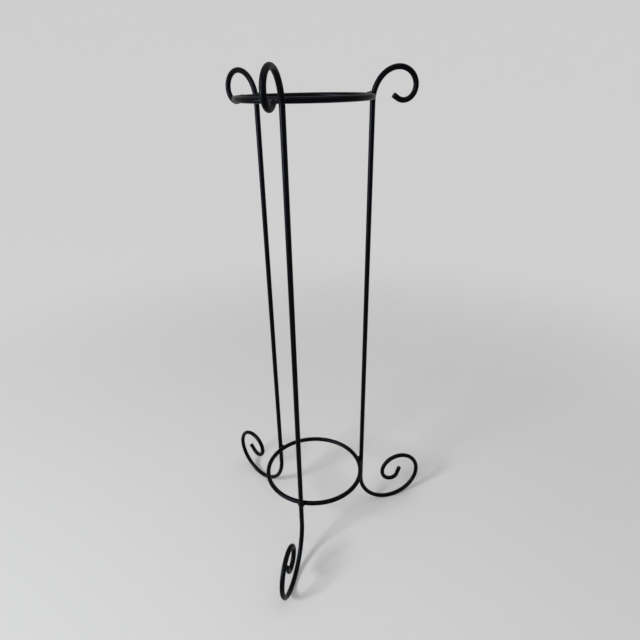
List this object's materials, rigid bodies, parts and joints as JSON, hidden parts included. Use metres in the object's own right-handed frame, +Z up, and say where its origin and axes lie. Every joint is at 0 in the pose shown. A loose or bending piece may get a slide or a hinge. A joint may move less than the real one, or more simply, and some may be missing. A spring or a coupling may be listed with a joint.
{
  "type": "plant stand",
  "caption": "Tall open plant stand of bent round steel bar: scroll-footed, hook-topped legs welded around an upper pot ring and a lower tie ring.",
  "frame": {"origin": "on the floor, at the middle of the stand's footprint; the axis of the two rings stands 3.4 mm to the right of it (+X) and 59.0 mm behind it (+Y), because one leg reaches forward and two reach back", "axes": "+Z up along the stand, -Y towards the front leg, +X to the right as seen from the front"},
  "size_m": [0.4418, 0.3808, 0.9139],
  "materials": {
    "black_paint": "satin black paint over round steel bar, slightly uneven, rubbed at the cut ends and under the scrolls",
    "weld_paint": "the same black paint over a rougher weld bead"
  },
  "bodies": {
    "root": {"leg_front": "black_paint", "leg_right": "black_paint", "leg_left": "black_paint", "upper_ring": "black_paint", "lower_ring": "black_paint", "weld_upper_front": "weld_paint", "weld_upper_right": "weld_paint", "weld_upper_left": "weld_paint", "weld_lower_front": "weld_paint", "weld_lower_right": "weld_paint", "weld_lower_left": "weld_paint"}
  },
  "joints": []
}
